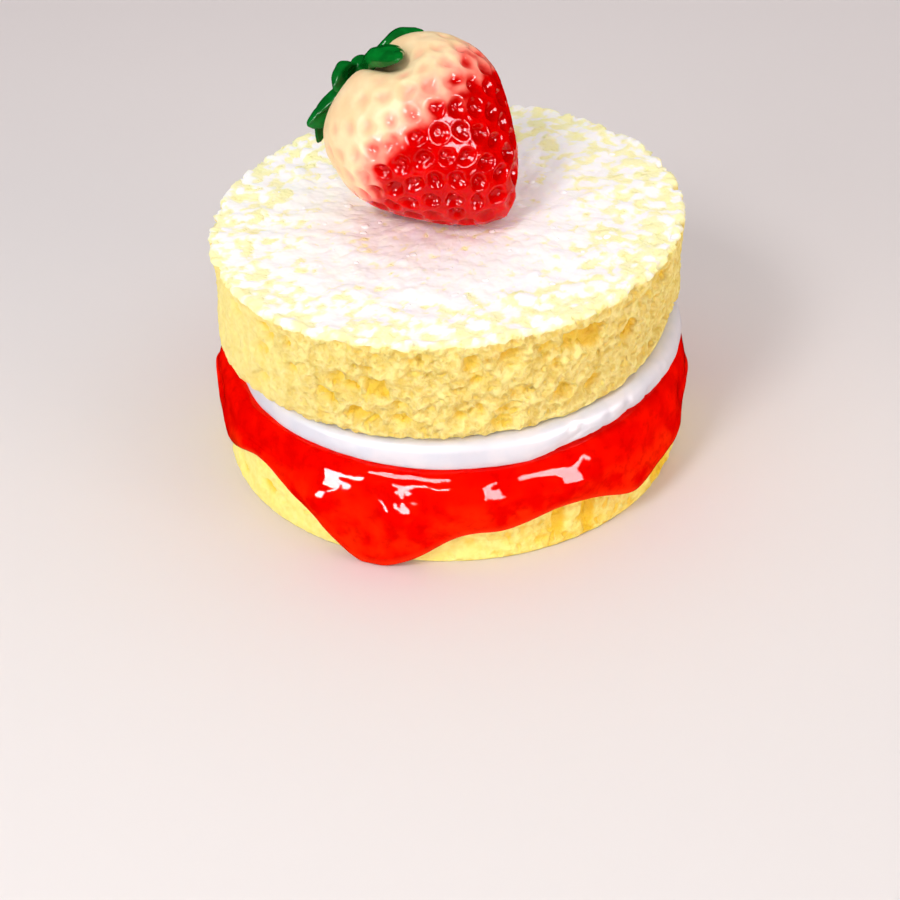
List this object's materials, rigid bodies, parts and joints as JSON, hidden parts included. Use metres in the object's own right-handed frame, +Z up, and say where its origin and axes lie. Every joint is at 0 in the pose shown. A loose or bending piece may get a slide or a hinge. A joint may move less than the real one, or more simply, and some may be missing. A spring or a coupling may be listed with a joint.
{
  "type": "toy victoria sponge cake",
  "caption": "Small round toy sponge cake in two layers, with a cream and jam filling that runs down the side, a dusted top and a strawberry lying on it.",
  "frame": {"origin": "middle of the flat face that the lower sponge stands on", "axes": "+Z up through the layers, -Y towards the front, where the largest run of jam is, +X to the right"},
  "size_m": [0.0719, 0.0734, 0.0644],
  "materials": {
    "lower_crumb": "dull foam clay with small pores, butter yellow",
    "jam": "clear wet red gel with lumps",
    "cream": "smooth white foam clay",
    "upper_crumb": "crumbly foam clay with open pores, white powder on top",
    "strawberry": "moulded plastic, cream at the stalk end fading to glossy red",
    "leaf": "semi-gloss dark green moulded plastic"
  },
  "bodies": {
    "root": {"lower_sponge": "lower_crumb", "jam": "jam", "cream": "cream", "upper_sponge": "upper_crumb", "strawberry": "strawberry", "strawberry_leaves": "leaf"}
  },
  "joints": []
}
